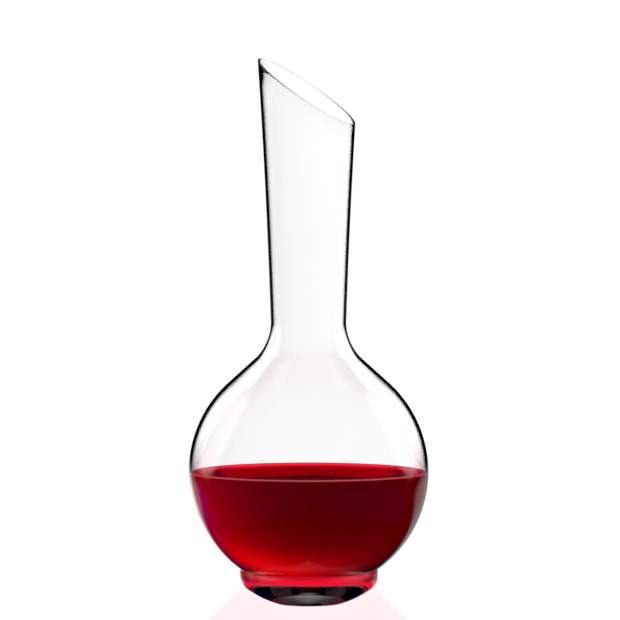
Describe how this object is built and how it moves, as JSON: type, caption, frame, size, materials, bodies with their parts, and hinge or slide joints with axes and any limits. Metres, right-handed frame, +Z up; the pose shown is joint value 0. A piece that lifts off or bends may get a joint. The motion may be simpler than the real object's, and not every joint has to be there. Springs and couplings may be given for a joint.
{
  "type": "wine decanter",
  "caption": "Clear blown glass decanter with a round bulb, a long flared neck cut off on a slant and a solid dish foot, half filled with red wine.",
  "frame": {"origin": "on the axis of the glass, in the plane of the flat ground ring under the foot, where it meets the table", "axes": "+Z up along the axis of the bulb and neck; +X towards the low side of the slanted mouth, where it pours"},
  "size_m": [0.1464, 0.1464, 0.3319],
  "materials": {
    "clear_glass": "blown and fire polished",
    "foot_glass": "solid, polished",
    "red_wine": "clear liquid"
  },
  "bodies": {
    "root": {"bowl_and_neck": "clear_glass", "foot": "foot_glass", "wine": "red_wine"}
  },
  "joints": []
}
